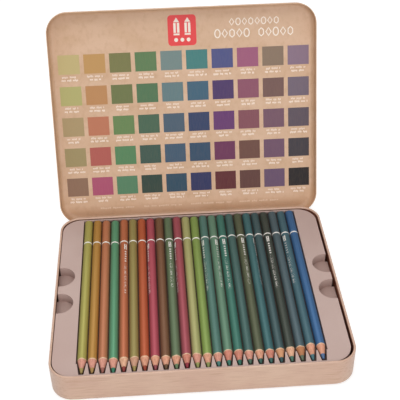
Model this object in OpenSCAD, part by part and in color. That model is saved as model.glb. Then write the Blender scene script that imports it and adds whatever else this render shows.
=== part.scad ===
// Hinged tin for colour pencils: two stacked formed trays, each with a row of round pencils.
// Millimetres. +Z is up, +X is to the right, +Y is to the back, where the hinge is.
// The origin is the middle of the underside of the base, on the surface that the tin stands on.
// The tin is sized around its trays, and the trays are sized around their pencils.

/* [Pencils] */
// Length of a pencil, from its blunt tip to its tail
pencil_l = 175; // [150:1:185]
// Diameter of the lacquered barrel
pencil_d = 7.1; // [6.5:0.1:7.3]
// Diameter of the coloured lead
lead_d = 3.3; // [2:0.1:4]
// Diameter of the blunt point
tip_d = 1.5; // [0.8:0.1:1.8]
// Length of the sharpened cone
cone_l = 12.2; // [9:0.1:20]
// Closed wood behind the tail end of the lead
tail_cap = 0.6; // [0.4:0.1:3]
// Glue line around the lead
glue_gap = 0.02; // [0.01:0.01:0.05]

/* [Rows] */
// Pencils in the upper tray
upper_count = 24; // [12:1:24]
// Distance between neighbouring pencils in the upper tray
upper_pitch = 7.85; // [7.75:0.05:8.2]
// Pencils in the lower tray
lower_count = 26; // [12:1:26]
// Distance between neighbouring pencils in the lower tray
lower_pitch = 7.55; // [7.5:0.05:7.6]

/* [Trays] */
// Thickness of the formed plastic sheet
sheet_t = 0.6; // [0.4:0.1:1]
// Height of one tray
tray_h = 11.9; // [11.7:0.1:18]
// Plain border beside the upper row, on the left and on the right
side_border = 18; // [17.5:0.1:30]
// Material left beyond the pencils' pockets, at the front and at the back
end_border = 1.4; // [1.2:0.1:10]
// Corner radius of a tray, seen from above
tray_r = 16; // [15:0.5:22]
// Room around a pencil in its groove
groove_gap = 0.2; // [0.1:0.05:0.3]
// Room beyond each end of a pencil in its pocket
end_play = 2; // [1:0.1:3]
// Flat ledge beside the first and the last groove
bed_ledge = 0.6; // [0.3:0.1:2]
// How far a pencil stands above the tray's top
pencil_proud = 1.6; // [0.5:0.1:1.8]
// How far the ridges between the grooves end below the pencils' axes
ridge_drop = 1.8; // [0.9:0.1:2]
// Length that is cut off the thin start of the webs between the pockets
web_trim = 1.5; // [1:0.1:4]
// Width of a pocket at the pencil's point
pocket_end_w = 3.8; // [2.5:0.1:5]
// Radius of a finger notch
notch_r = 11.2; // [9:0.1:13]
// How far a finger notch of the upper tray reaches in from the tray's side
upper_reach = 13.2; // [8:0.1:14.8]
// The same for the lower tray, whose row is wider
lower_reach = 12.4; // [8:0.1:12.6]
// Depth of a finger notch
notch_depth = 8.4; // [5:0.1:10]
// Distance between the two finger notches of one side
notch_spacing = 31; // [28:0.1:60]
// How far the notches lie behind the tray's middle
notch_back = 1.6; // [-3:0.1:3]
// Room between a tray and the rolled rim, left and right
tray_gap_x = 1.1; // [1:0.1:2.5]
// Room between a tray and the rolled rim, front and back
tray_gap_y = 0.5; // [0.4:0.1:2.5]
// How far the loose upper tray has slid to the left
tray_slid = 0.7; // [-1:0.1:1]

/* [Tin] */
// Thickness of the tinplate
tin_t = 0.4; // [0.3:0.05:0.6]
// Corner radius of the base, seen from above
corner_r = 17; // [14:0.5:18]
// Radius between the base's walls and its floor
foot_r = 2.3; // [1.5:0.1:2.3]
// Diameter of the rolled rim of the base
rim_d = 1.8; // [1.8:0.1:3]
// How far the rolled rim stands above the upper tray
rim_rise = 1.6; // [0.5:0.1:4]
// Depth of the lid, from its hem to its top
lid_h = 11; // [10:0.5:15]
// Room between the inside of the lid and the top of the rolled rim, when closed
lid_headroom = 1.6; // [1.2:0.1:4]
// Room between the lid's hem and the base's wall
lid_gap = 0.3; // [0.3:0.1:1]
// Width of the folded hem along the lid's edge
hem_d = 0.8; // [0.6:0.1:1]
// Radius between the lid's top and its sides
lid_edge_r = 4.4; // [4:0.1:6]

/* [Hinge] */
// Angle that the lid stands open
lid_open = 111.5; // [90:0.5:115]
// Diameter of a hinge pin
pin_d = 1.2; // [0.8:0.1:1.4]
// Clearance around a hinge pin, on the radius
pin_gap = 0.05; // [0.02:0.01:0.1]
// Outside diameter of a hinge knuckle
knuckle_d = 2.8; // [2.6:0.1:3.2]
// Room between a knuckle and what passes it
knuckle_gap = 0.3; // [0.2:0.05:0.5]
// Length of the lid's knuckle
lid_knuckle_l = 14; // [8:1:30]
// Length of each of the base's knuckles
base_knuckle_l = 8; // [5:1:20]
// Distance from the middle of the tin to each hinge
hinge_x = 62; // [30:1:75]
// How far the pin lies below the lid's hem
pin_drop = 0.6; // [0.4:0.1:0.8]

/* [Hidden] */
$fn = 96;
eps = 0.01;
over = 1;

NUMBERS = [for (i = [1:24]) str(i < 10 ? "0" : "", i)];

pencil_r = pencil_d / 2;
tip_r = tip_d / 2;
lead_r = lead_d / 2;
cone_slope = (pencil_r - tip_r) / cone_l;
point_l = (lead_r - tip_r) / cone_slope;

// Where each upper pencil lies in its groove, towards the tail
slid = [0.9, 0.6, 0, -0.7, 0, -0.1, -0.3, -0.2, 0, -0.1, 0.1, -0.3,
        -0.8, 0, -0.2, -0.2, 0.4, 0.2, 0.3, 0.1, 0.5, 0.8, 0.5, 0.9];

groove_r = pencil_r + groove_gap;
row_l = pencil_l + 2 * end_play;
cone_start = -row_l / 2 + end_play + cone_l;
bed_front = cone_start - end_play;
axis_drop = pencil_r - pencil_proud;
groove_z = tray_h - axis_drop;
ridge_z = groove_z - ridge_drop;
web_front = bed_front - web_trim;

tray_w = (upper_count - 1) * upper_pitch + 2 * (groove_r + bed_ledge + side_border);
tray_d = row_l + 2 * end_border;
base_w = tray_w + 2 * (tray_gap_x + rim_d);
base_d = tray_d + 2 * (tray_gap_y + rim_d);

lower_tray_z = tin_t;
upper_tray_z = lower_tray_z + tray_h;
base_h = upper_tray_z + tray_h + rim_rise;

lid_reach = lid_gap + hem_d;
lid_w = base_w + 2 * lid_reach;
lid_d = base_d + 2 * lid_reach;
lid_r = corner_r + lid_reach;
lid_top = base_h + lid_headroom + tin_t;
hem_z = lid_top - lid_h;

knuckle_r = knuckle_d / 2;
pin_r = pin_d / 2;
hinge_y = base_d / 2 + knuckle_gap + knuckle_r;
hinge_z = hem_z - pin_drop;
hinge_l = lid_knuckle_l + 2 * (base_knuckle_l + knuckle_gap);

// ---- shapes that repeat ----

// A slab with rounded corners, centred on Z.
module rounded_slab(w, d, r, h) {
    linear_extrude(h) union() {
        square([w - 2 * r, d], center = true);
        square([w, d - 2 * r], center = true);
        for (x = [-1, 1], y = [-1, 1])
            translate([x * (w / 2 - r), y * (d / 2 - r)]) circle(r);
    }
}

// Sweeps a profile around a rounded rectangle. The profile's x is measured from the corner's
// centre, so its outermost line lies at x = r.
module around(w, d, r) {
    for (turn = [0:3]) {
        across = turn % 2 == 0 ? w : d;
        along = turn % 2 == 0 ? d : w;
        rotate(90 * turn) translate([across / 2 - r, along / 2 - r, 0]) {
            rotate_extrude(angle = 90) children();
            rotate([90, 0, 0]) linear_extrude(along - 2 * r) children();
        }
    }
}

// A quarter of a ring of sheet, from direction a to a + 90 degrees.
module quarter_ring(r, t, a) {
    rotate(a) intersection() {
        difference() {
            circle(r);
            circle(r - t);
        }
        square(r + over);
    }
}

// A cylinder along X, centred on it.
module rod_x(r, l) {
    rotate([0, 90, 0]) cylinder(r = r, h = l, center = true);
}

// A cylinder or cone along Y, from y = from to y = to.
module rod_y(r_from, r_to, from, to) {
    translate([0, from, 0]) rotate([-90, 0, 0])
        cylinder(r1 = r_from, r2 = r_to, h = to - from);
}

// Puts its children at each place of a row of pencils.
module along_row(count, pitch) {
    for (i = [0:count - 1]) translate([(i - (count - 1) / 2) * pitch, 0, 0]) children();
}

// ---- tin ----

// Wall of the base: foot radius, upright wall and an open curl that makes the rolled rim.
module base_profile() {
    curl_r = rim_d / 2;
    translate([corner_r - foot_r, foot_r]) quarter_ring(foot_r, tin_t, -90);
    translate([corner_r - tin_t, foot_r]) square([tin_t, base_h - curl_r - foot_r]);
    translate([corner_r - curl_r, base_h - curl_r])
        for (a = [0, 90, 180]) quarter_ring(curl_r, tin_t, a);
}

module base_knuckles() {
    for (side = [-1, 1]) translate([side * hinge_x, 0, 0])
        for (end = [-1, 1])
            translate([end * (lid_knuckle_l + base_knuckle_l + 2 * knuckle_gap) / 2, 0, 0]) {
                translate([0, hinge_y, hinge_z]) rod_x(knuckle_r, base_knuckle_l);
                translate([-base_knuckle_l / 2, base_d / 2 - tin_t / 2, hinge_z - knuckle_r])
                    cube([base_knuckle_l, hinge_y - base_d / 2 + tin_t / 2, tin_t * 1.5]);
            }
}

module pin_bores(r) {
    for (side = [-1, 1]) translate([side * hinge_x, hinge_y, hinge_z])
        rod_x(r, hinge_l + 2 * over);
}

module base_shell() {
    color("tan") difference() {
        union() {
            around(base_w, base_d, corner_r) base_profile();
            rounded_slab(base_w - 2 * foot_r, base_d - 2 * foot_r, corner_r - foot_r, tin_t);
            base_knuckles();
        }
        pin_bores(pin_r + pin_gap);
    }
}

// Side of the lid, as it lies when closed: folded hem, wall and edge radius.
module lid_profile() {
    translate([lid_r - hem_d / 2, hem_z + hem_d / 2]) circle(hem_d / 2);
    translate([lid_r - tin_t, hem_z + hem_d / 2])
        square([tin_t, lid_h - hem_d / 2 - lid_edge_r]);
    translate([lid_r - lid_edge_r, lid_top - lid_edge_r]) quarter_ring(lid_edge_r, tin_t, 0);
}

module closed_lid() {
    difference() {
        union() {
            around(lid_w, lid_d, lid_r) lid_profile();
            translate([0, 0, lid_top - tin_t])
                rounded_slab(lid_w - 2 * lid_edge_r, lid_d - 2 * lid_edge_r,
                    lid_r - lid_edge_r, tin_t);
        }
        for (side = [-1, 1]) translate([side * hinge_x, hinge_y, hinge_z])
            rod_x(knuckle_r + knuckle_gap, hinge_l + 2 * knuckle_gap);
    }
    for (side = [-1, 1]) translate([side * hinge_x, hinge_y, hinge_z]) lid_knuckle();
}

// Knuckle of the lid with the tongue that runs up into the lid's back wall.
module lid_knuckle() {
    difference() {
        union() {
            rod_x(knuckle_r, lid_knuckle_l);
            translate([-lid_knuckle_l / 2, lid_d / 2 - tin_t - hinge_y, 0])
                cube([lid_knuckle_l, tin_t, pin_drop + hem_d + knuckle_r]);
        }
        rod_x(pin_r + pin_gap, lid_knuckle_l + 2 * over);
    }
}

module lid_shell() {
    color("burlywood") translate([0, hinge_y, hinge_z]) rotate([-lid_open, 0, 0])
        translate([0, -hinge_y, -hinge_z]) closed_lid();
}

module hinge_pins() {
    color("silver") for (side = [-1, 1]) translate([side * hinge_x, hinge_y, hinge_z])
        rod_x(pin_r, hinge_l);
}

// ---- trays ----

// Plan of one pocket for a pencil's cone, widened all round by the sheet where grow > 0.
module pocket_plan(grow) {
    wide = groove_r + grow;
    narrow = pocket_end_w / 2 + grow;
    polygon([[-wide, bed_front + eps], [wide, bed_front + eps],
             [narrow, -row_l / 2 - grow], [-narrow, -row_l / 2 - grow]]);
}

// What a pencil's groove and pocket take out of the sheet.
module groove() {
    translate([0, 0, groove_z]) {
        rod_y(groove_r, groove_r, bed_front, row_l / 2);
        rod_y(pocket_end_w / 2, groove_r, -row_l / 2, bed_front + eps);
        linear_extrude(tray_h) pocket_plan(0);
    }
}

// The sheet under one groove and around its pocket.
module groove_shell() {
    r = groove_r + sheet_t;
    intersection() {
        translate([0, 0, groove_z]) {
            rod_y(r, r, bed_front, row_l / 2 + sheet_t);
            rod_y(pocket_end_w / 2 + sheet_t, r, -row_l / 2 - sheet_t, bed_front + eps);
        }
        translate([-r, -row_l, 0]) cube([2 * r, 2 * row_l, ridge_z - eps]);
    }
    translate([0, 0, ridge_z - sheet_t])
        linear_extrude(tray_h - ridge_z + sheet_t) pocket_plan(sheet_t);
}

// Plan of one finger notch, open towards the tray's side.
module notch_plan(r, reach) {
    centre = tray_w / 2 - reach + r;
    union() {
        translate([centre, 0]) circle(r);
        translate([centre, -r]) square([r + over, 2 * r]);
    }
}

module notches(reach, grow, floor_z, h) {
    for (side = [0, 1], y = [-1, 1])
        translate([0, notch_back + y * notch_spacing / 2, floor_z]) mirror([side, 0, 0])
            linear_extrude(h) notch_plan(notch_r + grow, reach + grow);
}

module tray(count, pitch, reach) {
    bed_w = (count - 1) * pitch + 2 * (groove_r + bed_ledge);
    notch_z = tray_h - notch_depth;
    difference() {
        union() {
            difference() {
                rounded_slab(tray_w, tray_d, tray_r, tray_h);
                translate([0, 0, -over])
                    rounded_slab(tray_w - 2 * sheet_t, tray_d - 2 * sheet_t,
                        tray_r - sheet_t, tray_h - sheet_t + over);
            }
            translate([-bed_w / 2 - sheet_t, web_front - sheet_t, ridge_z - sheet_t])
                cube([bed_w + 2 * sheet_t, row_l / 2 - web_front + 2 * sheet_t,
                    tray_h - ridge_z + sheet_t]);
            along_row(count, pitch) groove_shell();
            intersection() {
                rounded_slab(tray_w, tray_d, tray_r, tray_h);
                notches(reach, sheet_t, notch_z - sheet_t, tray_h);
            }
        }
        translate([-bed_w / 2, web_front, ridge_z])
            cube([bed_w, row_l / 2 - web_front, tray_h]);
        along_row(count, pitch) groove();
        notches(reach, 0, notch_z, tray_h);
    }
}

module upper_tray() {
    color("rosybrown") translate([-tray_slid, 0, upper_tray_z])
        tray(upper_count, upper_pitch, upper_reach);
}

module lower_tray() {
    color("rosybrown") translate([0, 0, lower_tray_z])
        tray(lower_count, lower_pitch, lower_reach);
}

// ---- pencils ----

// Wood casing, from the cone to the closed tail, with a bore for the lead.
module barrel() {
    difference() {
        union() {
            rod_y(tip_r, pencil_r, -pencil_l / 2, -pencil_l / 2 + cone_l);
            rod_y(pencil_r, pencil_r, -pencil_l / 2 + cone_l - eps, pencil_l / 2);
        }
        rod_y(lead_r + glue_gap, lead_r + glue_gap, -pencil_l / 2 - over,
            pencil_l / 2 - tail_cap);
    }
}

// Coloured lead with its blunt point.
module lead() {
    rod_y(tip_r, lead_r, -pencil_l / 2, -pencil_l / 2 + point_l);
    rod_y(lead_r, lead_r, -pencil_l / 2 + point_l - eps, pencil_l / 2 - tail_cap - glue_gap);
}

// Place of upper pencil i, counted from 1 at the left.
module upper_place(i) {
    translate([(i - (upper_count + 1) / 2) * upper_pitch - tray_slid, slid[i - 1],
        upper_tray_z + groove_z]) children();
}

module lower_places() {
    translate([0, 0, lower_tray_z + groove_z])
        along_row(lower_count, lower_pitch) children();
}

// Lacquer colours of the upper pencils, from left to right.
lacquers = ["darkkhaki", "goldenrod", "peru", "seagreen", "chocolate", "olive", "chocolate",
    "indianred", "saddlebrown", "darkolivegreen", "firebrick", "darkkhaki", "olivedrab",
    "teal", "cadetblue", "teal", "darkslategray", "darkolivegreen", "teal", "darkslategray",
    "darkslategray", "slategray", "steelblue", "royalblue"];

module lower_barrels() {
    color("mediumpurple") lower_places() barrel();
}

module lower_leads() {
    color("indigo") lower_places() lead();
}

base_shell();
lid_shell();
hinge_pins();
lower_tray();
upper_tray();
lower_barrels();
lower_leads();
for (i = [1:upper_count]) {
    color(lacquers[i - 1]) upper_place(i) barrel();
    color(lacquers[i - 1]) upper_place(i) lead();
}
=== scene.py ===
"""Looks of the colour pencil tin: prints, formed trays, lacquered pencils, studio and camera."""

import colorsys
import math
import random

import bmesh
import bpy
from mathutils import Matrix, Vector


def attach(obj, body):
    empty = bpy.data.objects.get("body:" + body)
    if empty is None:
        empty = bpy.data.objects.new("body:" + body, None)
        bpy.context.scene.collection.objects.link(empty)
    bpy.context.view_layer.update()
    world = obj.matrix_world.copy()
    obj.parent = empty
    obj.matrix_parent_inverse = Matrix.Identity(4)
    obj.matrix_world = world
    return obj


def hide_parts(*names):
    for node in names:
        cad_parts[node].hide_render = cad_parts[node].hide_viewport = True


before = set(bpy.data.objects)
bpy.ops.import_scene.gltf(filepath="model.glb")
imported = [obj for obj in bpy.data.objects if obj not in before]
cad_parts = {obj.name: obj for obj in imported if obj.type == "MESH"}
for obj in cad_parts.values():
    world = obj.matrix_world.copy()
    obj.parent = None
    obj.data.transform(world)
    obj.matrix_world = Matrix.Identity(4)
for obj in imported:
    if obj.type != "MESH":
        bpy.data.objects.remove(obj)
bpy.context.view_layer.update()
MM = 0.001

# ---- sizes of the CAD model, in millimetres ----
BASE_W, BASE_D, CORNER_R, FOOT_R, CURL_Z = 231.05, 186.4, 17.0, 2.3, 24.0
HINGE_Y, HINGE_Z, LID_OPEN = 94.9, 16.2, math.radians(111.5)
PANEL_REL, HEM_REL = 11.2, -0.6  # the lid's inner panel and its lower edge, from the hinge axis
PENCIL_R, LEAD_R, TIP_R, GLUE = 3.55, 1.65, 0.75, 0.02
HALF_L, CONE_L, TAIL_CAP = 87.5, 12.2, 0.6
UPPER_PITCH, UPPER_Z, UPPER_COUNT, UPPER_TOP = 7.85, 22.25, 24, 24.2
LOWER_PITCH, LOWER_Z, LOWER_COUNT, LOWER_TOP = 7.55, 10.35, 26, 12.3
TRAY_SLID = -0.7
TRAY_HALF_W, NOTCH_R, NOTCH_DEPTH, NOTCH_STEP, NOTCH_BACK = 112.625, 11.2, 8.4, 31.0, 1.6
ROW_HALF_W, ROW_HALF_L = 96.0, 90.0  # where the grooves' painted shade reaches: a little more than the row of grooves takes up
PRINT_TOP, OVERPRINT_TOP = 0.04, 0.07  # how far the lid's print stands off its panel
FOIL_SUNK, FOIL_PROUD = 0.05, 0.015  # the print on a barrel, below and above its surface
UPPER_TURNS, LOWER_TURNS = (48, 32), (36, 24)  # facets around a casing and around a core
LOWER_SEED = 100
SLID = [0.9, 0.6, 0, -0.7, 0, -0.1, -0.3, -0.2, 0, -0.1, 0.1, -0.3,
        -0.8, 0, -0.2, -0.2, 0.4, 0.2, 0.3, 0.1, 0.5, 0.8, 0.5, 0.9]

# ---- paints: one plain colour for each piece or print ----
# Each upper pencil: lacquer, lead, wood, how much longer its cone is cut, where its print faces.
PENCILS = [
    ("b0aa58", "ac965c", "pink", 0.3, None), ("ba8a3e", "b08c54", "pink", 0.0, None),
    ("c07a54", "a0665a", "pink", 0.6, None), ("5a9a74", "3a7c62", "pink", 0.4, None),
    ("be6c46", "90403a", "pale", -0.2, 26), ("9c8e52", "a08c54", "grey", 0.1, None),
    ("bc5a32", "984430", "tan", 0.2, None), ("b44c5c", "904a50", "tan", -0.5, -50),
    ("7c5438", "6a5038", "tan", -1.0, None), ("647a5a", "6c8460", "tan", -1.2, 9),
    ("a84e5a", "943440", "rust", -0.3, -60), ("b0b074", "989a5c", "pink", -0.1, None),
    ("88a252", "8c9458", "tan", -0.2, None), ("527e74", "4c8078", "pink", -1.0, -42),
    ("668e76", "3c7868", "rust", 1.5, 27), ("3c7a6c", "387060", "rust", 0.9, 4),
    ("446a66", "506c5c", "pink", -0.9, None), ("5a6248", "3c645a", "tan", -0.6, 16),
    ("3c6e72", "3c6862", "rust", -0.9, 60), ("3e5c60", "38585a", "ochre", -0.2, None),
    ("3c463e", "507868", "pale", 0.1, -12), ("4e646c", "64705c", "brown", 0.1, None),
    ("426a76", "4c7880", "tan", 2.3, -34), ("386a9c", "58749c", "tan", 1.5, None)]
WOODS = {"pink": "d69684", "tan": "dc9e82", "pale": "e2b090", "grey": "c6967c", "rust": "cc8270",
         "ochre": "cc946c", "brown": "b47850"}
# The chart is a pattern of its own, drawn by rule and not after any print. Ten families of muted
# hues each run down five tones: hue in degrees, saturation and value at the top and at the bottom.
FAMILIES = [((50, 0.35, 0.80), (30, 0.35, 0.60)), ((30, 0.50, 0.80), (-10, 0.50, 0.65)),
            ((60, 0.35, 0.50), (150, 0.35, 0.55)), ((120, 0.30, 0.50), (165, 0.30, 0.25)),
            ((190, 0.15, 0.55), (215, 0.50, 0.40)), ((190, 0.45, 0.55), (230, 0.50, 0.35)),
            ((235, 0.40, 0.50), (345, 0.50, 0.35)), ((340, 0.40, 0.65), (370, 0.35, 0.40)),
            ((25, 0.25, 0.50), (-70, 0.25, 0.40)), ((300, 0.15, 0.55), (260, 0.10, 0.20))]
CHART_ROWS, HUE_SCATTER, TONE_SCATTER, CHART_SEED = 5, 12, 0.05, 7


def lin(colour):
    """Linear RGBA of a hex sRGB colour."""
    part = [int(colour[i:i + 2], 16) / 255 for i in (0, 2, 4)]
    return [c / 12.92 if c <= 0.04045 else ((c + 0.055) / 1.055) ** 2.4 for c in part] + [1.0]


def chart_paints():
    """The chart's hex colours, row by row: each family's tones with a little seeded scatter."""
    rng = random.Random(CHART_SEED)
    rows = []
    for row in range(CHART_ROWS):
        down = row / (CHART_ROWS - 1)
        rows.append([])
        for top, bottom in FAMILIES:
            hue, saturation, value = [a + (b - a) * down for a, b in zip(top, bottom)]
            hue = (hue + rng.uniform(-HUE_SCATTER, HUE_SCATTER)) % 360 / 360
            value += rng.uniform(-TONE_SCATTER, TONE_SCATTER)
            rgb = colorsys.hsv_to_rgb(hue, saturation, value)
            rows[-1].append("".join(f"{round(255 * part):02x}" for part in rgb))
    return rows


chart_colours = chart_paints()


# ---- materials ----
class Paint:
    """The node tree of one material. Its patterns are laid out in metres, in the object's frame."""

    def __init__(self, name, **values):
        self.mat = bpy.data.materials.new(name)
        self.mat.use_nodes = True
        self.tree = self.mat.node_tree
        self.bsdf = self.tree.nodes["Principled BSDF"]
        self.place = self.node("ShaderNodeTexCoord").outputs["Object"]
        self.x, self.y, self.z = self.node("ShaderNodeSeparateXYZ", self.place).outputs
        for key, value in values.items():
            self.bsdf.inputs[key.replace("_", " ")].default_value = value

    def node(self, kind, *values, **settings):
        """A node with its first inputs set: an output is linked, and anything else is a value."""
        made = self.tree.nodes.new(kind)
        for key, value in settings.items():
            setattr(made, key, value)
        for socket, value in zip(made.inputs, values):
            self.put(socket, value)
        return made

    def put(self, socket, value):
        if isinstance(value, bpy.types.NodeSocket):
            self.tree.links.new(value, socket)
        else:
            socket.default_value = value

    def noise(self, scale, detail=3.0, low=0.35, high=0.65):
        """Noise with scale repeats per metre on each axis, spread to 0..1 between low and high."""
        spread = (scale,) * 3 if isinstance(scale, (int, float)) else scale
        mapping = self.node("ShaderNodeMapping")
        self.put(mapping.inputs["Vector"], self.place)
        self.put(mapping.inputs["Scale"], spread)
        texture = self.node("ShaderNodeTexNoise")
        self.put(texture.inputs["Vector"], mapping.outputs[0])
        self.put(texture.inputs["Scale"], 1.0)
        self.put(texture.inputs["Detail"], detail)
        return self.span(texture.outputs["Fac"], low, high, 0.0, 1.0)

    def span(self, value, low, high, to_low, to_high):
        return self.node("ShaderNodeMapRange", value, low, high, to_low, to_high).outputs[0]

    def math(self, operation, *values):
        return self.node("ShaderNodeMath", *values, operation=operation).outputs[0]

    def mix(self, factor, a, b):
        node = self.node("ShaderNodeMix", data_type="RGBA")
        for i, v in ((0, factor), (6, a), (7, b)):
            self.put(node.inputs[i], v)
        return node.outputs[2]

    def veil(self, colour, pattern, amount, over):
        """Lays another colour over this one, as strongly as the pattern times the amount."""
        return self.mix(self.math("MULTIPLY", pattern, amount), colour, lin(over))

    def tint(self):
        """The colour that the mesh's own faces carry."""
        return self.node("ShaderNodeAttribute", attribute_name="tint").outputs["Color"]

    def past(self, value, half):
        """How far a coordinate lies beyond plus or minus half, in metres, and 0 inside that."""
        beyond = self.math("SUBTRACT", self.math("ABSOLUTE", value), half * MM)
        return self.math("MAXIMUM", beyond, 0.0)

    def length(self, a, b):
        squares = self.math("ADD", self.math("MULTIPLY", a, a), self.math("MULTIPLY", b, b))
        return self.math("SQRT", squares)

    def finish(self, colour, roughness=None, height=None, depth=0.00005, strength=0.4):
        self.put(self.bsdf.inputs["Base Color"], colour)
        if roughness is not None:
            self.put(self.bsdf.inputs["Roughness"], roughness)
        if height is not None:
            bump = self.node("ShaderNodeBump")
            self.put(bump.inputs["Height"], height)
            self.put(bump.inputs["Distance"], depth)
            self.put(bump.inputs["Strength"], strength)
            self.put(self.bsdf.inputs["Normal"], bump.outputs[0])
        return self.mat


def inside_base(p):
    """1 on the faces that look into the base, and 0 on its outside and on its rolled rim."""
    across = p.past(p.x, BASE_W / 2 - CORNER_R)
    along = p.past(p.y, BASE_D / 2 - CORNER_R)
    from_wall = p.math("SUBTRACT", p.length(across, along), (CORNER_R - FOOT_R) * MM)
    to_wall = p.math("MAXIMUM", from_wall, 0.0)
    to_floor = p.math("MAXIMUM", p.math("SUBTRACT", FOOT_R * MM, p.z), 0.0)
    under_skin = p.math("LESS_THAN", p.length(to_wall, to_floor), (FOOT_R - 0.2) * MM)
    return p.math("MULTIPLY", under_skin, p.math("LESS_THAN", p.z, CURL_Z * MM))


def kraft(name, base, pale, deep, stroke_size, stroke_depth, painted_inner_shade=False):
    """Satin tinplate print that looks like pale board: soft clouds, drawn-out strokes, specks."""
    p = Paint(name, Coat_Weight=0.1, Coat_Roughness=0.35)
    clouds = p.noise((34, 60, 60), 4, 0.3, 0.7)
    strokes = p.noise(stroke_size, 4, 0.5, 0.72)
    specks = p.noise((900, 1500, 1500), 2, 0.55, 0.75)
    colour = p.mix(clouds, lin(base), lin(pale))
    colour = p.veil(colour, strokes, stroke_depth, deep)
    colour = p.veil(colour, specks, 0.14, deep)
    # Painted shade: the faces inside the base, below the rolled rim, are painted dark brown for the
    # deep shade in the gap between the trays and the tin's wall.
    if painted_inner_shade:
        colour = p.mix(inside_base(p), colour, lin("9a5e48"))
    return p.finish(colour, p.span(strokes, 0, 1, 0.42, 0.55), specks, 0.00002, 0.25)


def plastic(name, base, pale, top):
    """Formed matte sheet with a fine grain. Painted shade darkens it with depth, from 3 mm below
    the top down to 8 mm. Inside the row, its grooves are painted thin and dark from just below the
    top down, as painted shade between the pencils.
    """
    p = Paint(name, Sheen_Weight=0.05, Sheen_Roughness=0.6)
    clouds = p.noise(26, 2, 0.3, 0.7)
    grain = p.noise(2600, 2, 0.3, 0.7)
    colour = p.mix(clouds, lin(base), lin(pale))
    colour = p.veil(colour, grain, 0.08, "8c7268")
    # Painted shade: the sheet turns darker with depth, from 3 mm below its top down to 8 mm, in the
    # notches, grooves and skirt.
    colour = p.veil(colour, p.span(p.z, (top - 8) * MM, (top - 3) * MM, 1.0, 0.0), 0.3, "8a6458")
    # Painted shade between the pencils: inside the row, the sheet turns dark brown from just below
    # its top down.
    beside = p.math("ADD", p.past(p.x, ROW_HALF_W), p.past(p.y, ROW_HALF_L))
    in_row = p.math("LESS_THAN", beside, 0.0001)
    deep = p.span(p.z, (top - 2.4) * MM, (top - 0.3) * MM, 1.0, 0.0)
    colour = p.veil(colour, p.math("MULTIPLY", in_row, deep), 0.9, "4a2c22")
    return p.finish(colour, p.span(grain, 0, 1, 0.62, 0.78), grain, 0.00003, 0.35)


def lacquer(name):
    """Satin lacquer with fine pearl flakes and faint drawing lines along the barrel."""
    p = Paint(name, Metallic=0.35, Coat_Weight=0.1, Coat_Roughness=0.45)
    flakes = p.noise(5200, 1, 0.5, 0.8)
    lines = p.noise((1400, 9, 1400), 2, 0.3, 0.7)
    colour = p.veil(p.tint(), flakes, 0.07, "fff6e8")
    colour = p.veil(colour, lines, 0.10, "1c1a18")
    return p.finish(colour, p.span(lines, 0, 1, 0.46, 0.56), lines, 0.00002, 0.2)


def cedar(name):
    """Sharpened wood: growth lines along the pencil and the fine cut of the blade around it."""
    p = Paint(name, Specular_IOR_Level=0.3)
    lines = p.noise((1500, 55, 1500), 4, 0.45, 0.7)
    cut = p.noise((90, 3600, 90), 2, 0.4, 0.7)
    colour = p.veil(p.tint(), lines, 0.45, "84503a")
    colour = p.veil(colour, cut, 0.12, "f0cca8")
    return p.finish(colour, 0.62, cut, 0.00004, 0.35)


def wax(name):
    """The coloured core: matte, a little waxy, with pits and drag marks."""
    p = Paint(name, Specular_IOR_Level=0.35)
    pits = p.noise(2400, 3, 0.4, 0.75)
    colour = p.veil(p.tint(), pits, 0.18, "161412")
    return p.finish(colour, p.span(pits, 0, 1, 0.5, 0.68), pits, 0.00005, 0.5)


def ink(name):
    """Printed colour, laid down in fine slanted strokes."""
    p = Paint(name, Specular_IOR_Level=0.2)
    strokes = p.noise((1900, 160, 160), 2, 0.35, 0.7)
    colour = p.veil(p.tint(), strokes, 0.04, "d8b48c")
    return p.finish(colour, p.span(strokes, 0, 1, 0.55, 0.68), strokes, 0.00001, 0.2)


def screen_print(name, base, ground, **values):
    """Thin screen print that lets a little of the ground show through."""
    p = Paint(name, **values)
    thin = p.noise(900, 3, 0.55, 0.8)
    return p.finish(p.veil(lin(base), thin, 0.35, ground), 0.5, thin, 0.00001, 0.2)


def steel(name):
    p = Paint(name, Metallic=0.9)
    lines = p.noise((40, 3000, 3000), 2, 0.35, 0.7)
    colour = p.mix(lines, lin("a8a8ac"), lin("7c7c80"))
    return p.finish(colour, p.span(lines, 0, 1, 0.28, 0.42), lines, 0.00001, 0.2)


TIN = kraft("tin_print", "cca894", "d6b6a0", "ac8064", (60, 900, 1100), 0.42, painted_inner_shade=True)
LID = kraft("lid_print", "cca684", "d6b294", "b08464", (260, 190, 190), 0.22)
UPPER_SHEET = plastic("upper_tray_plastic", "bea49c", "c4aca4", UPPER_TOP)
LOWER_SHEET = plastic("lower_tray_plastic", "bea49c", "c4aca4", LOWER_TOP)
LACQ, WOOD, CORE = lacquer("lacquer"), cedar("cedar"), wax("coloured_core")
RING = screen_print("ring_white", "fbfaf4", "eceade", Coat_Weight=0.3)
FOIL = screen_print("foil_print", "eeece6", "b8b6b0", Metallic=0.1)
WHITE = screen_print("white_ink", "f4e8dc", "e6d0ba")
CREAM = screen_print("cream_ink", "f4e4d6", "e0c4aa")
RED = screen_print("red_ink", "e22c30", "d8282c", Coat_Weight=0.1)
FAINT = screen_print("faint_ink", "e2c6ac", "d4b08e")
SWATCH = ink("chart_ink")
STEEL = steel("pin_steel")


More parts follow.
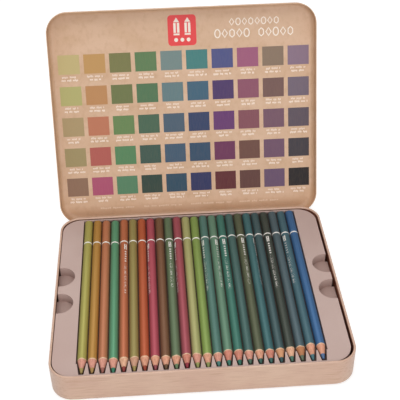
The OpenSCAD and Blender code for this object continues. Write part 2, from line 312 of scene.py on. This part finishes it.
# ---- meshes ----
class Mesh:
    """Faces that are gathered in millimetres and made into one piece."""

    def __init__(self):
        self.verts, self.faces, self.slots, self.tints = [], [], [], []

    def add(self, verts, faces, slot=0, tint=(1, 1, 1, 1)):
        first = len(self.verts)
        self.verts += [Vector(v) for v in verts]
        for face in faces:
            self.faces.append([first + i for i in face])
            self.slots.append(slot)
            self.tints.append(tint)

    def block(self, low, high, slot=0, tint=(1, 1, 1, 1)):
        """A closed thin plate between two outlines that match point for point."""
        n = len(low)
        walls = [[i, (i + 1) % n, n + (i + 1) % n, n + i] for i in range(n)]
        self.add(low + high, [list(range(n))[::-1], list(range(n, 2 * n))] + walls, slot, tint)

    def make(self, name, materials, body, slot, replaces=()):
        mesh = bpy.data.meshes.new(name)
        mesh.from_pydata([v * MM for v in self.verts], [], self.faces)
        bm = bmesh.new()
        bm.from_mesh(mesh)
        bmesh.ops.recalc_face_normals(bm, faces=bm.faces)
        bm.to_mesh(mesh)
        bm.free()
        for material in materials:
            mesh.materials.append(material)
        mesh.polygons.foreach_set("material_index", self.slots)
        layer = mesh.color_attributes.new("tint", "FLOAT_COLOR", "CORNER")
        colours = []
        for polygon, tint in zip(mesh.polygons, self.tints):
            colours += list(tint) * polygon.loop_total
        layer.data.foreach_set("color", colours)
        mesh.shade_smooth()
        mesh.set_sharp_from_angle(angle=math.radians(35))
        return place(name, mesh, body, replaces)


def place(name, mesh, body, replaces=()):
    piece = bpy.data.objects.new(name, mesh)
    bpy.context.scene.collection.objects.link(piece)
    if replaces:
        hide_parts(*replaces)
    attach(piece, body)
    return piece


def steps(count):
    """Pairs of neighbours around a closed ring."""
    return [(i, (i + 1) % count) for i in range(count)]


# ---- pencils ----
LACQUER_SLOT, WOOD_SLOT, RING_SLOT, FOIL_SLOT, PRIMER_SLOT = range(5)
RING_AT, RING_W = 57.5, 1.3
PRIMER_W = 0.7


class Pencil:
    """One pencil that points along -Y, with its middle at (x, y, z)."""

    def __init__(self, x, y, z, longer, seed):
        self.middle = (x, y, z)
        self.slope = (PENCIL_R - TIP_R) / (CONE_L + longer)
        self.edge = -HALF_L + CONE_L + longer
        self.point = -HALF_L + (LEAD_R - TIP_R) / self.slope
        rng = random.Random(seed)
        self.waves = [(n, rng.uniform(0.03, 0.12), rng.uniform(0, 6.28)) for n in (1, 2, 3, 5)]

    def cone_r(self, y):
        return TIP_R + self.slope * (y + HALF_L)

    def spot(self, angle, y, r):
        x0, y0, z0 = self.middle
        return (x0 + r * math.sin(angle), y0 + y, z0 + r * math.cos(angle))

    def wander(self, angle):
        """How far the lacquer's cut edge strays along the barrel at an angle."""
        return sum(h * math.sin(n * angle + phase) for n, h, phase in self.waves)

    def lathe(self, mesh, path, turns, tints):
        """Turns a path of (y, radius, slot of the stretch that follows, slope where it strays)."""
        rings = []
        for y, r, _, slope in path:
            ring = []
            for i in range(turns if r else 1):
                angle = 2 * math.pi * i / turns
                off = 0 if slope is None else self.wander(angle)
                ring.append(self.spot(angle, y + off, r + off * (slope or 0)))
            rings.append(ring)
        for a, b, (_, _, slot, _) in zip(rings, rings[1:], path):
            if len(a) == 1:
                faces = [[0, 1 + j, 1 + i] for i, j in steps(turns)]
            elif len(b) == 1:
                faces = [[i, j, turns] for i, j in steps(turns)]
            else:
                faces = [[i, j, turns + j, turns + i] for i, j in steps(turns)]
            mesh.add(a + b, faces, slot, tints[slot])

    def casing_path(self):
        """Bore, cut cone, primer, the lacquer's edge, the barrel with its ring, the dipped tail."""
        bore, lip = LEAD_R + GLUE, self.point + 0.08
        path = [(HALF_L - TAIL_CAP, 0, WOOD_SLOT, None), (HALF_L - TAIL_CAP, bore, WOOD_SLOT, None),
                (lip, bore, WOOD_SLOT, None)]
        path += [(y, self.cone_r(y), WOOD_SLOT, None) for y in (lip, -81.5, -79)]
        for y, slot in ((self.edge - 0.3 - PRIMER_W, PRIMER_SLOT), (self.edge - 0.3, LACQUER_SLOT)):
            path.append((y, self.cone_r(y), slot, self.slope))
        path += [(self.edge - 0.2, PENCIL_R - 0.03, LACQUER_SLOT, 0),
                 (self.edge, PENCIL_R, LACQUER_SLOT, 0),
                 (-40, PENCIL_R, LACQUER_SLOT, None), (10, PENCIL_R, LACQUER_SLOT, None)]
        near, far, proud = RING_AT - RING_W / 2, RING_AT + RING_W / 2, PENCIL_R + FOIL_PROUD
        path += [(near, PENCIL_R, RING_SLOT, None), (near + 0.05, proud, RING_SLOT, None),
                 (far - 0.05, proud, RING_SLOT, None), (far, PENCIL_R, LACQUER_SLOT, None)]
        for back, inward in ((0.9, 0), (0.45, 0.12), (0.15, 0.4), (0, 0.85), (0, PENCIL_R)):
            path.append((HALF_L - back, PENCIL_R - inward, LACQUER_SLOT, None))
        return path

    def core_path(self):
        path = [(-HALF_L, 0, 0, None), (-HALF_L + 0.02, 0.35, 0, None),
                (-HALF_L + 0.12, 0.6, 0, None)]
        path += [(y, self.cone_r(y), 0, None) for y in (-HALF_L + 0.4, -HALF_L + 1.6, self.point)]
        tail = HALF_L - TAIL_CAP - GLUE
        return path + [(tail, LEAD_R, 0, None), (tail, 0, 0, None)]

    def mark(self, mesh, angle, y0, y1, width, lean=0.0):
        """A patch of print on the barrel, width millimetres across, at an angle from the top."""
        outline = []
        for y, skew, sides in ((y0, -lean, (-0.5, 0, 0.5)), (y1, lean, (0.5, 0, -0.5))):
            outline += [(angle + (width * side + skew) / PENCIL_R, y) for side in sides]
        low, high = ([self.spot(a, y, r) for a, y in outline]
                     for r in (PENCIL_R - FOIL_SUNK, PENCIL_R + FOIL_PROUD))
        mesh.block(low, high, FOIL_SLOT)

    def print_marks(self, mesh, angle, seed):
        """Generic foil marks ahead of the ring: a block, five dots, a slanted bar, ticks."""
        rng = random.Random(seed)
        angle = math.radians(angle)
        for side in (-0.75, 0.75):
            self.mark(mesh, angle + side / PENCIL_R, 46.6, 53.4, 0.8)
        for y, tall, wide in ((46.6, 0.8, 2.2), (49.6, 0.8, 1.4), (52.6, 0.8, 2.2)):
            self.mark(mesh, angle, y, y + tall, wide)
        for i in range(5):
            self.mark(mesh, angle, 42.9 - 3.0 * i, 44.4 - 3.0 * i, 1.5)
        self.mark(mesh, angle, 27.2, 28.3, 2.2, 0.6)
        at = 25.6
        while at > -4:
            for _ in range(rng.choice((4, 5, 6))):
                astray = angle + rng.uniform(-0.05, 0.05)
                self.mark(mesh, astray, at - 0.8, at, rng.uniform(1.4, 2.5), 0.15)
                at -= 1.2
            at -= 1.4


CASING_PAINTS = [LACQ, WOOD, RING, FOIL, LACQ]
PRIMER = lin("e6c6a2")


def casing_tints(paint, wood):
    white = lin("f6f4ee")
    return [lin(paint), lin(WOODS[wood]), white, white, PRIMER]


for index, (paint, lead, wood, longer, facing) in enumerate(PENCILS):
    number = f"{index + 1:02d}"
    px = (index - (UPPER_COUNT - 1) / 2) * UPPER_PITCH + TRAY_SLID
    pencil = Pencil(px, SLID[index], UPPER_Z, longer, index)
    casing, core = Mesh(), Mesh()
    pencil.lathe(casing, pencil.casing_path(), UPPER_TURNS[0], casing_tints(paint, wood))
    pencil.print_marks(casing, 180 + 17 * (index % 5) if facing is None else facing, index)
    casing.make(f"pencil_{number}_casing", CASING_PAINTS, f"pencil_{number}",
                f"lacquer_{number}", [f"barrel_{number}"])
    pencil.lathe(core, pencil.core_path(), UPPER_TURNS[1], [lin(lead)])
    core.make(f"pencil_{number}_core", [CORE], f"pencil_{number}", f"colour_{number}",
              [f"lead_{number}"])


second_set = [row[column] for column in range(4, 10) for row in chart_colours][:LOWER_COUNT]
casings, cores = Mesh(), Mesh()
for index, paint in enumerate(second_set):
    px = (index - (LOWER_COUNT - 1) / 2) * LOWER_PITCH
    pencil = Pencil(px, 0, LOWER_Z, 0.0, LOWER_SEED + index)
    wood = ("pink", "tan", "pale", "tan", "rust")[index % 5]
    pencil.lathe(casings, pencil.casing_path(), LOWER_TURNS[0], casing_tints(paint, wood))
    pencil.print_marks(casings, (index * 67) % 360, LOWER_SEED + index)
    pencil.lathe(cores, pencil.core_path(), LOWER_TURNS[1], [lin(paint)])
casings.make("lower_casings", CASING_PAINTS, "lower_pencils", "lower_lacquer", ["lower_barrels"])
cores.make("lower_cores", [CORE], "lower_pencils", "lower_lead", ["lower_leads"])


# ---- print on the inside of the lid ----
def on_lid(u, v, lift):
    """Point on the lid's inner panel: u to the right, v up from its lower edge, lift off it."""
    y, z = HEM_REL - v, PANEL_REL - lift
    c, s = math.cos(LID_OPEN), math.sin(LID_OPEN)
    return (u, HINGE_Y + y * c + z * s, HINGE_Z - y * s + z * c)


def plate(mesh, outline, slot=0, tint=(1, 1, 1, 1), base=0.0, top=PRINT_TOP):
    """A thin closed plate of print on the panel. The outline runs anticlockwise in u and v."""
    low, high = ([on_lid(u, v, lift) for u, v in outline] for lift in (base, top))
    mesh.block(low, high, slot, tint)


def rect(u0, v0, u1, v1):
    return [(u0, v0), (u1, v0), (u1, v1), (u0, v1)]


def rounded(u0, v0, u1, v1, r, steps_per_corner=8):
    points = []
    corners = ((u1 - r, v0 + r), (u1 - r, v1 - r), (u0 + r, v1 - r), (u0 + r, v0 + r))
    for quarter, (cu, cv) in enumerate(corners):
        for i in range(steps_per_corner + 1):
            a = math.radians(90 * (quarter - 1 + i / steps_per_corner))
            points.append((cu + r * math.cos(a), cv + r * math.sin(a)))
    return points


def ticks(mesh, rng, u0, u1, v, tall, wide, gap, top=PRINT_TOP):
    """A line of short upright ticks in groups, in place of words."""
    u = u0
    while u < u1 - wide:
        for _ in range(rng.choice((3, 4, 5, 6))):
            if u > u1 - wide:
                break
            up, down = rng.choice(((1.0, 0), (1.0, 0), (1.35, 0), (1.0, 0.3)))
            plate(mesh, rect(u, v - down * tall, u + wide, v + up * tall), top=top)
            u += wide + gap
        u += 2 * gap + wide


GRID_U, GRID_V, STEP_U, STEP_V = -109.63, 151.24, 22.48, 27.85
SWATCH_W, SWATCH_H, CAPTION_H = 18.85, 16.95, 1.3
# Each caption line: its drop below the swatch, least and most half length, tick width and gap.
CAPTION_LINES = ((3.2, 5.6, 7.8, 0.5, 0.42), (6.0, 4.6, 8.6, 0.66, 0.28))


def chart():
    """Fifty swatches, each over a short and a long line of ticks."""
    swatches, captions = Mesh(), Mesh()
    rng = random.Random(11)
    for row, colours in enumerate(chart_colours):
        for column, colour in enumerate(colours):
            u, v = GRID_U + column * STEP_U, GRID_V - row * STEP_V
            plate(swatches, rect(u, v - SWATCH_H, u + SWATCH_W, v), tint=lin(colour))
            middle = u + SWATCH_W / 2
            for drop, least, most, wide, gap in CAPTION_LINES:
                half, foot = rng.uniform(least, most), v - SWATCH_H - drop
                ticks(captions, rng, middle - half, middle + half, foot, CAPTION_H, wide, gap)
    swatches.make("chart_swatches", [SWATCH], "lid", "lid_print")
    captions.make("chart_captions", [CREAM], "lid", "lid_print")


def badge():
    """A red badge with two upright pencils, drawn as plain shapes, over three dots."""
    mesh = Mesh()
    plate(mesh, rounded(-12.2, 155.2, 12.6, 181.8, 3.2), 0)
    shapes = []
    for u in (-4.6, 5.1):
        shapes += [rect(u - 2.6, 166.5, u - 0.5, 175.0), rect(u + 0.5, 166.5, u + 2.6, 175.0),
                   [(u - 2.6, 175.6), (u + 2.6, 175.6), (u, 179.6)],
                   rect(u - 2.6, 164.4, u + 2.6, 165.9)]
    for u in (-5.2, 0.25, 5.7):
        shapes.append(rounded(u - 1.7, 158.6, u + 1.7, 162.0, 1.69, 5))
    for shape in shapes:
        plate(mesh, shape, 1, base=PRINT_TOP, top=OVERPRINT_TOP)
    mesh.make("lid_badge", [RED, WHITE], "lid", "lid_print")


def outline_shape(mesh, u, v, w, h, sides, line):
    """The outline of a ring or a regular shape with its first corner up."""
    corners = [(math.cos(a), math.sin(a))
               for a in (math.pi / 2 + 2 * math.pi * i / sides for i in range(sides))]
    for i, j in steps(sides):
        (c0, s0), (c1, s1) = corners[i], corners[j]
        outer_w, outer_h, inner_w, inner_h = w / 2, h / 2, w / 2 - line, h / 2 - line
        plate(mesh, [(u + c0 * outer_w, v + s0 * outer_h), (u + c1 * outer_w, v + s1 * outer_h),
                     (u + c1 * inner_w, v + s1 * inner_h), (u + c0 * inner_w, v + s0 * inner_h)])


def heading():
    """Two rows of outline shapes: diamonds, rings and hexagons."""
    mesh = Mesh()
    kinds = (4, 24, 4, 6)
    for i in range(8):
        outline_shape(mesh, 43.8 + 5.6 * i, 174.0, 4.8, 6.6, kinds[i % 4], 0.85)
    for i in range(11):
        if i != 5:
            outline_shape(mesh, 31.1 + 6.42 * i, 164.2, 5.6, 8.0, kinds[(i + 1) % 4], 1.0)
    mesh.make("lid_heading", [WHITE], "lid", "lid_print")


def footer():
    mesh = Mesh()
    rng = random.Random(12)
    for u0, u1 in ((-81, -49), (-41, -6), (2, 40), (47, 84)):
        ticks(mesh, rng, u0, u1, 9.7, 1.1, 1.3, 0.3, 0.03)
    mesh.make("lid_footer", [FAINT], "lid", "lid_print")


chart()
badge()
heading()
footer()


# ---- the CAD pieces that keep their own shape, and every other one's paint ----
LIP_LAP, LIP_T, LIP_R, LIP_MARGIN = 0.5, 0.55, 1.0, 0.3


def notch_lips(node, material, floor_z, edges):
    """The thin lips that carry the notches' floors on under the rolled rim, to the tin's wall."""
    mesh = Mesh()
    for side, edge, reach in edges:
        for middle in (NOTCH_BACK + NOTCH_STEP / 2, NOTCH_BACK - NOTCH_STEP / 2):
            half, r = NOTCH_R - LIP_MARGIN, LIP_R
            bend = [(reach - r + r * math.sin(a), half - r + r * math.cos(a))
                    for a in (math.pi / 2 * i / 6 for i in range(7))]
            outline = [(-LIP_LAP, half)] + bend
            outline += [(out, -along) for out, along in reversed(bend)] + [(-LIP_LAP, -half)]
            mesh.block(*([(side * (edge + out), middle + along, z) for out, along in outline]
                         for z in (floor_z - LIP_T, floor_z - 0.01)))
    mesh.make(node + "_lips", [material], node, "tray_plastic")


notch_lips("upper_tray", UPPER_SHEET, UPPER_TOP - NOTCH_DEPTH,
           ((-1, TRAY_HALF_W - TRAY_SLID, 1.3), (1, TRAY_HALF_W + TRAY_SLID, 2.0)))
notch_lips("lower_tray", LOWER_SHEET, LOWER_TOP - NOTCH_DEPTH,
           ((-1, TRAY_HALF_W, 1.6), (1, TRAY_HALF_W, 1.6)))

DRESS = {"base_shell": TIN, "lid_shell": LID, "hinge_pins": STEEL, "upper_tray": UPPER_SHEET,
         "lower_tray": LOWER_SHEET, "lower_barrels": LACQ, "lower_leads": CORE}
for name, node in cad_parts.items():
    for slot in node.material_slots:
        slot.material = DRESS.get(name, LACQ if name.startswith("barrel_") else CORE)


# ---- studio ----
class Nodes:
    """A bare node tree for the world or the floor."""

    def __init__(self, owner):
        owner.use_nodes = True
        self.tree = owner.node_tree
        self.tree.nodes.clear()
        self.rays = self.add("ShaderNodeLightPath").outputs

    def add(self, kind, **values):
        made = self.tree.nodes.new(kind)
        for key, value in values.items():
            made.inputs[key].default_value = value
        return made

    def link(self, source, target):
        self.tree.links.new(source, target)

    def seen_directly(self):
        """1 for rays that show the background, straight or in something glossy or clear."""
        value = self.rays["Is Camera Ray"]
        for name in ("Is Glossy Ray", "Is Transmission Ray"):
            both = self.add("ShaderNodeMath")
            both.operation = "MAXIMUM"
            self.link(value, both.inputs[0])
            self.link(self.rays[name], both.inputs[1])
            value = both.outputs[0]
        return value

    def choose(self, factor, otherwise, when, output):
        pick = self.add("ShaderNodeMixShader")
        for socket, source in zip(pick.inputs, (factor, otherwise, when)):
            self.link(source, socket)
        self.link(pick.outputs[0], self.add(output).inputs["Surface"])


def studio_world():
    world = bpy.data.worlds.new("studio")
    bpy.context.scene.world = world
    nodes = Nodes(world)
    white = nodes.add("ShaderNodeBackground", Color=(1, 1, 1, 1), Strength=1.0)
    light = nodes.add("ShaderNodeBackground", Color=(1, 0.99, 0.98, 1), Strength=0.34)
    nodes.choose(nodes.rays["Is Camera Ray"], light.outputs[0], white.outputs[0],
                 "ShaderNodeOutputWorld")


FADE_FROM, FADE_TO, FLOOR_HALF, FLOOR_Z = 0.35, 0.9, 3, -0.0003  # metres


def studio_floor():
    """A pale floor that keeps the object's shadow and fades into plain white farther out."""
    paint = bpy.data.materials.new("floor")
    nodes = Nodes(paint)
    matte = nodes.add("ShaderNodeBsdfDiffuse", Color=(0.6, 0.6, 0.6, 1))
    glow = nodes.add("ShaderNodeEmission", Strength=0.6)
    both = nodes.add("ShaderNodeAddShader")
    nodes.link(matte.outputs[0], both.inputs[0])
    nodes.link(glow.outputs[0], both.inputs[1])
    reach = nodes.add("ShaderNodeVectorMath")
    reach.operation = "LENGTH"
    nodes.link(nodes.add("ShaderNodeTexCoord").outputs["Object"], reach.inputs[0])
    far = nodes.add("ShaderNodeMapRange")
    nodes.link(reach.outputs["Value"], far.inputs["Value"])
    far.inputs["From Min"].default_value, far.inputs["From Max"].default_value = FADE_FROM, FADE_TO
    fade = nodes.add("ShaderNodeMixShader")
    white = nodes.add("ShaderNodeEmission", Strength=1.0)
    for socket, source in zip(fade.inputs, (far.outputs[0], both.outputs[0], white.outputs[0])):
        nodes.link(source, socket)
    nodes.choose(nodes.seen_directly(), matte.outputs[0], fade.outputs[0],
                 "ShaderNodeOutputMaterial")
    half, z = FLOOR_HALF, FLOOR_Z
    mesh = bpy.data.meshes.new("floor")
    mesh.from_pydata([(-half, -half, z), (half, -half, z), (half, half, z), (-half, half, z)], [],
                     [[0, 1, 2, 3]])
    mesh.materials.append(paint)
    floor = bpy.data.objects.new("floor", mesh)
    bpy.context.scene.collection.objects.link(floor)


def softbox(name, spot, target, size, watts, colour):
    light = bpy.data.lights.new(name, "AREA")
    light.shape, light.size, light.energy, light.color = "SQUARE", size, watts, colour
    lamp = bpy.data.objects.new(name, light)
    bpy.context.scene.collection.objects.link(lamp)
    lamp.location = spot
    lamp.rotation_euler = (Vector(target) - Vector(spot)).to_track_quat("-Z", "Y").to_euler()


def camera(spot, right, ahead, lens, shift_x, shift_y):
    """The camera, from its place, its right and its viewing direction."""
    view = bpy.data.cameras.new("camera")
    view.lens, view.sensor_width = lens, 36.0
    view.shift_x, view.shift_y = shift_x, shift_y
    view.clip_start, view.clip_end = 0.01, 20
    eye = bpy.data.objects.new("camera", view)
    bpy.context.scene.collection.objects.link(eye)
    ahead = Vector(ahead).normalized()
    up = Vector(right).cross(ahead).normalized()
    turn = Matrix((ahead.cross(up), up, -ahead)).transposed().to_4x4()
    eye.matrix_world = Matrix.Translation(Vector(spot) * MM) @ turn
    bpy.context.scene.camera = eye


studio_world()
studio_floor()
softbox("overhead", (-0.15, -0.2, 1.25), (0, 0.02, 0.03), 1.2, 7.6, (1.0, 0.99, 0.98))
softbox("back_light", (-0.1, 1.05, 1.05), (0, -0.03, 0.03), 0.8, 5.5, (1.0, 0.99, 0.98))
softbox("front_fill", (0.15, -1.35, 0.55), (0, 0, 0.06), 1.0, 9.4, (1.0, 0.98, 0.97))
camera((-27.0, -521.0, 517.0), (0.99792, -0.06251, -0.01591), (0.04008, 0.79415, -0.6064),
       78.28, 0.01545, -0.0198)
bpy.context.scene.view_settings.view_transform = "Standard"
